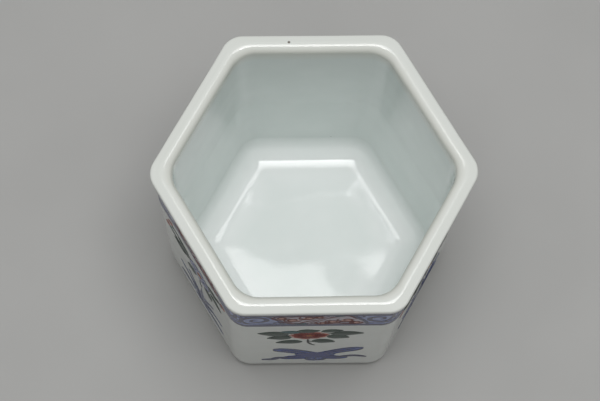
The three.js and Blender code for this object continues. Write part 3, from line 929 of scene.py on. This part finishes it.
def bare_porcelain(colours):
    """The wiped foot: dense unglazed porcelain, matt and faintly sandy, flushed orange beside the glaze."""
    made, tree = new_material("wiped_bare_porcelain")
    height = parts_of(tree, "clay")[0]
    flush = node(tree, "ShaderNodeMapRange", {"Value": height, "From Min": 0.35, "From Max": 0.95})
    broken = node(tree, "ShaderNodeMath", {0: flush, 1: patches(tree, 5 * MM)}, operation="MULTIPLY")
    base = blend_colours(tree, broken, shade(colours.bare_clay), shade(colours.clay_flush))
    base = blend_colours(tree, patches(tree, 0.5 * MM, 4.0, 0.5, 0.8), base, shade(colours.bare_clay, 0.8))
    surface(tree, base, CLAY_ROUGHNESS, relief(tree, 0.35 * MM, 3.0, 0.5, 0.05 * MM))
    return made


class Paint(NamedTuple):
    """A paint: its thin and its thick colour by name, the share that the thick one is darkened to (or
    lightened, over 1), how rough it fires, the shader's specular level, how much thicker a stroke's edges
    dry, its refraction, the size of its clouds, and the colour of the veins drawn under it, if any."""

    thin: str
    thick: str
    darkened: float
    roughness: float
    gloss: float
    edge: float = 0.6
    ior: float = ENAMEL_IOR
    clouds: float = 2.2 * MM
    veins: str = ""


PAINTS = {
    # Cobalt oxide brushed thin on the raw clay and glazed over: soft, clouded, and duller than the bare glaze
    "underglaze_cobalt_wash": Paint("cobalt_wash", "cobalt_pool", 1, 0.06, gloss=0.3, edge=0.3,
                                    ior=GLAZE_IOR),
    # The breath of cobalt and iron that clouds the white of the field of scrolls
    "underglaze_tint": Paint("field_tint", "field_tint", 0.7, 0.06, gloss=0.3, edge=0.2, ior=GLAZE_IOR),
    # Cobalt from a fuller brush: a deep even blue, which takes more of the glaze's gloss away
    "underglaze_cobalt_deep_wash": Paint("cobalt_deep", "cobalt_pool", 0.4, 0.08, gloss=0.12, edge=0.4,
                                         ior=GLAZE_IOR),
    # And where the full brush has rested, almost navy
    "underglaze_cobalt_depths": Paint("cobalt_depth", "cobalt_depth", 0.6, 0.08, gloss=0.12, edge=0.1,
                                      ior=GLAZE_IOR),
    # Cobalt drawn dark with a fine brush. Laid on so thick, it dulls the glaze that it has sunk into.
    "underglaze_cobalt_line": Paint("cobalt_line", "cobalt_line", 0.5, 0.1, gloss=0.15, ior=GLAZE_IOR,
                                    clouds=1.4 * MM),
    # Iron red, a thin dry enamel fired onto the glaze: far less glossy than what lies round it
    "iron_red_enamel": Paint("iron_red", "iron_red_line", 1, 0.4, gloss=0.2, edge=0.5, clouds=1.2 * MM),
    # Iron red drawn thick with the tip of the brush: brownish and dull
    "iron_red_line": Paint("iron_red_line", "iron_red_line", 0.7, 0.4, gloss=0.15, edge=0.3),
    # Iron red let down with much flux to a pink that shows the white under it
    "pale_red_enamel": Paint("pale_red", "pale_red", 0.7, 0.3, gloss=0.2, edge=0.35),
    # Copper green lead enamel, a raised pad laid on thick over a drawing in dark line. Worn, it has lost much
    # of its gloss.
    "copper_green_enamel": Paint("leaf_green", "leaf_green", 0.6, 0.25, gloss=0.12, edge=0.8,
                                 veins="leaf_vein"),
    # Thick blue-green enamel, worn like the green
    "turquoise_enamel": Paint("turquoise", "turquoise", 0.6, 0.25, gloss=0.12, edge=0.7),
    # Raised dots of yellow lead enamel, glossy and a little brown
    "yellow_enamel": Paint("yellow", "yellow", 0.7, 0.2, gloss=0.3),
    # Manganese drawn dark and dull, for stems
    "dark_outline": Paint("leaf_vein", "leaf_vein", 1.8, 0.3, gloss=0.15),
}

# How much a paint's clouds, and the tone of a whole stroke, deepen its colour
CLOUD_PART, TONE_PART = 0.45, 0.25
# Side veins: radians of their wave along a leaf, and how far it lags from the rib to the edge
VEIN_TURNS, VEIN_SLANT = 24.0, -3.2


def veined(tree, along, middle, base, veins):
    """Draws a midrib and slanting side veins under an enamel. Middle is 0 at the rib and 1 at the edge."""
    rib = node(tree, "ShaderNodeMapRange",
               {"Value": middle, "From Min": 0.05, "From Max": 0.13, "To Min": 1, "To Max": 0})
    slant = node(tree, "ShaderNodeMath", {0: middle, 1: VEIN_SLANT}, operation="MULTIPLY")
    phase = node(tree, "ShaderNodeMath", {0: along, 1: VEIN_TURNS, 2: slant}, operation="MULTIPLY_ADD")
    wave = node(tree, "ShaderNodeMath", {0: phase}, operation="SINE")
    vein = node(tree, "ShaderNodeMapRange", {"Value": wave, "From Min": 0.72, "From Max": 0.95})
    drawn = node(tree, "ShaderNodeMath", {0: vein, 1: rib}, operation="MAXIMUM")
    faint = node(tree, "ShaderNodeMath", {0: drawn, 1: 0.8}, operation="MULTIPLY")
    return blend_colours(tree, faint, base, shade(veins))


def painted(name, colours):
    """A painted colour: thick at the edges of each stroke, where it dries last, and clouded within."""
    if name in FINISHES:
        return FINISHES[name]
    paint = PAINTS[name]
    made, tree = new_material(name)
    along, beside, tone = parts_of(tree, "brush")
    middle = node(tree, "ShaderNodeMath", {0: beside}, operation="ABSOLUTE")
    rim = node(tree, "ShaderNodeMapRange",
               {"Value": middle, "From Min": 0.45, "From Max": 1.0, "To Max": paint.edge})
    cloud = node(tree, "ShaderNodeMath", {0: patches(tree, paint.clouds), 1: CLOUD_PART, 2: rim},
                 operation="MULTIPLY_ADD")
    deep = node(tree, "ShaderNodeMath", {0: tone, 1: TONE_PART, 2: cloud}, operation="MULTIPLY_ADD",
                use_clamp=True)
    base = blend_colours(tree, deep, shade(getattr(colours, paint.thin)),
                         shade(getattr(colours, paint.thick), paint.darkened))
    if paint.veins:
        base = veined(tree, along, middle, base, getattr(colours, paint.veins))
    surface(tree, base, paint.roughness, glaze_skin(tree), paint.ior, paint.gloss)
    return made


def studio_paper(colours):
    """Matt seamless paper, very faintly mottled."""
    made, tree = new_material("studio_paper")
    base = blend_colours(tree, patches(tree, 60 * MM), shade(colours.floor), shade(colours.floor, 0.96))
    surface(tree, base, PAPER_ROUGHNESS, relief(tree, 1.5 * MM, 2.0, 0.1, 0.1 * MM))
    return made


# Stage. The camera stands where the photograph was taken from.

CAMERA_PLACE = Vector((-24.86, -219.07, 823.55)) * MM
CAMERA_LOOK = Vector((0.02625, 0.27830, -0.96013))
CAMERA_ROLL = 4.604
CAMERA_LENS = 131.06
SENSOR_WIDTH = 36
FLOOR_RINGS = (0.2, 1.5, 12)
FLOOR_STEPS = 48

# A softbox overhead, in three fields, because such a box is brightest over its bulb, near the front. Each
# has its name, the place of its middle, how deep it is, and how brightly it glows.
SOFTBOX_HEIGHT, SOFTBOX_WIDTH, SOFTBOX_ASIDE = 1.1, 0.5, 0.02
SOFTBOX_FIELDS = (("softbox_front", -0.155, 0.11, 9.9), ("softbox", 0.0125, 0.225, 6.65),
                  ("softbox_edge", 0.194, 0.138, 3.3))


def build_floor(scene):
    shape = bmesh.new()
    rings = [[shape.verts.new((reach * math.cos(turn), reach * math.sin(turn), 0))
              for turn in np.linspace(0, math.tau, FLOOR_STEPS, endpoint=False)] for reach in FLOOR_RINGS]
    shape.faces.new(rings[0])
    for inner, outer in zip(rings, rings[1:]):
        for place in range(FLOOR_STEPS):
            after = (place + 1) % FLOOR_STEPS
            shape.faces.new((inner[place], outer[place], outer[after], inner[after]))
    mesh = bpy.data.meshes.new("studio_floor")
    shape.to_mesh(mesh)
    shape.free()
    mesh.materials.append(studio_paper(scene.fire_pot_colours))
    floor = bpy.data.objects.new("studio_floor", mesh)
    scene.collection.objects.link(floor)


def build_room(scene):
    """Light that fades from overhead to the horizon. The camera and the gloss see a plain pale backdrop."""
    world = bpy.data.worlds.new("studio_room")
    world.use_nodes = True
    tree = world.node_tree
    tree.nodes.clear()
    rays = node(tree, "ShaderNodeLightPath").outputs
    heading = node(tree, "ShaderNodeTexCoord").outputs["Generated"]
    upward = node(tree, "ShaderNodeSeparateXYZ", {"Vector": heading}).outputs["Z"]
    fall = node(tree, "ShaderNodeMapRange",
                {"Value": upward, "From Min": 0.3, "From Max": 1.0, "To Min": 0.02, "To Max": 0.7})
    room = node(tree, "ShaderNodeBackground", {"Color": (1, 1, 1, 1), "Strength": fall})
    backdrop = node(tree, "ShaderNodeBackground",
                    {"Color": shade(scene.fire_pot_colours.backdrop), "Strength": 1.0})
    clear = node(tree, "ShaderNodeMath", {0: rays["Is Glossy Ray"], 1: rays["Is Transmission Ray"]},
                 operation="MAXIMUM")
    plain = node(tree, "ShaderNodeMath", {0: rays["Is Camera Ray"], 1: clear}, operation="MAXIMUM")
    seen = node(tree, "ShaderNodeMixShader", {0: plain, 1: room, 2: backdrop})
    node(tree, "ShaderNodeOutputWorld", {"Surface": seen})
    scene.world = world


def build_stage(scene):
    """A pale floor, a large soft lamp overhead, the room's light and the camera."""
    build_floor(scene)
    for name, middle, deep, glow in SOFTBOX_FIELDS:
        lamp = bpy.data.lights.new(name, "AREA")
        lamp.shape = "RECTANGLE"
        lamp.size, lamp.size_y = SOFTBOX_WIDTH, deep
        lamp.energy = glow * math.pi * SOFTBOX_WIDTH * deep
        holder = bpy.data.objects.new(name, lamp)
        holder.location = (SOFTBOX_ASIDE, middle, SOFTBOX_HEIGHT)
        scene.collection.objects.link(holder)
    build_room(scene)

    lens = bpy.data.cameras.new("camera")
    lens.sensor_width = SENSOR_WIDTH
    lens.lens = CAMERA_LENS
    lens.clip_start, lens.clip_end = 0.01, 50
    camera = bpy.data.objects.new("camera", lens)
    camera.location = CAMERA_PLACE
    camera.rotation_mode = "QUATERNION"
    upright = CAMERA_LOOK.normalized().to_track_quat("-Z", "Y")
    camera.rotation_quaternion = upright @ Quaternion((0, 0, 1), math.radians(CAMERA_ROLL))
    scene.collection.objects.link(camera)
    scene.camera = camera
    scene.view_settings.view_transform = "Standard"


class FIREPOT_OT_porcelain_body(bpy.types.Operator):
    """Build the glazed body: walls, bevelled lip, coved inside and floor"""

    bl_idname = "firepot.porcelain_body"
    bl_label = "Porcelain body"

    def execute(self, context):
        build_body(context.scene)
        return {"FINISHED"}


class FIREPOT_OT_bare_foot(bpy.types.Operator):
    """Build the unglazed foot ring"""

    bl_idname = "firepot.bare_foot"
    bl_label = "Bare foot"

    def execute(self, context):
        build_foot(context.scene)
        return {"FINISHED"}


class FIREPOT_OT_border_band(bpy.types.Operator):
    """Paint the border under the lip"""

    bl_idname = "firepot.border_band"
    bl_label = "Border band"

    def execute(self, context):
        build_border(context.scene)
        return {"FINISHED"}


class FIREPOT_OT_flower_sprays(bpy.types.Operator):
    """Paint the flower sprays"""

    bl_idname = "firepot.flower_sprays"
    bl_label = "Flower sprays"

    def execute(self, context):
        build_sprays(context.scene)
        return {"FINISHED"}


class FIREPOT_OT_blue_motifs(bpy.types.Operator):
    """Paint the blue blades under the sprays"""

    bl_idname = "firepot.blue_motifs"
    bl_label = "Blue motifs"

    def execute(self, context):
        build_blue_motifs(context.scene)
        return {"FINISHED"}


class FIREPOT_OT_stage(bpy.types.Operator):
    """Set the floor, the lamp, the room and the camera"""

    bl_idname = "firepot.stage"
    bl_label = "Stage"

    def execute(self, context):
        build_stage(context.scene)
        return {"FINISHED"}


OPERATORS = (
    FIREPOT_OT_porcelain_body,
    FIREPOT_OT_bare_foot,
    FIREPOT_OT_border_band,
    FIREPOT_OT_flower_sprays,
    FIREPOT_OT_blue_motifs,
    FIREPOT_OT_stage,
)


class FIREPOT_PT_panel(bpy.types.Panel):
    """Lists the pieces of the pot with their sizes and colours"""

    bl_idname = "FIREPOT_PT_panel"
    bl_label = "Hexagonal fire pot"
    bl_space_type = "VIEW_3D"
    bl_region_type = "UI"
    bl_category = "Fire pot"

    def draw(self, context):
        for operator in OPERATORS:
            self.layout.operator(operator.bl_idname)
        for group in (context.scene.fire_pot_sizes, context.scene.fire_pot_colours):
            box = self.layout.box()
            for name in type(group).__annotations__:
                box.prop(group, name)


CLASSES = (FirePotSizes, FirePotColours, *OPERATORS, FIREPOT_PT_panel)


def register():
    for made in CLASSES:
        bpy.utils.register_class(made)
    bpy.types.Scene.fire_pot_sizes = PointerProperty(type=FirePotSizes)
    bpy.types.Scene.fire_pot_colours = PointerProperty(type=FirePotColours)


def unregister():
    del bpy.types.Scene.fire_pot_colours
    del bpy.types.Scene.fire_pot_sizes
    for made in reversed(CLASSES):
        bpy.utils.unregister_class(made)


def main():
    register()
    bpy.ops.firepot.porcelain_body()
    bpy.ops.firepot.bare_foot()
    bpy.ops.firepot.border_band()
    bpy.ops.firepot.flower_sprays()
    bpy.ops.firepot.blue_motifs()
    bpy.ops.firepot.stage()


if __name__ == "__main__":
    main()
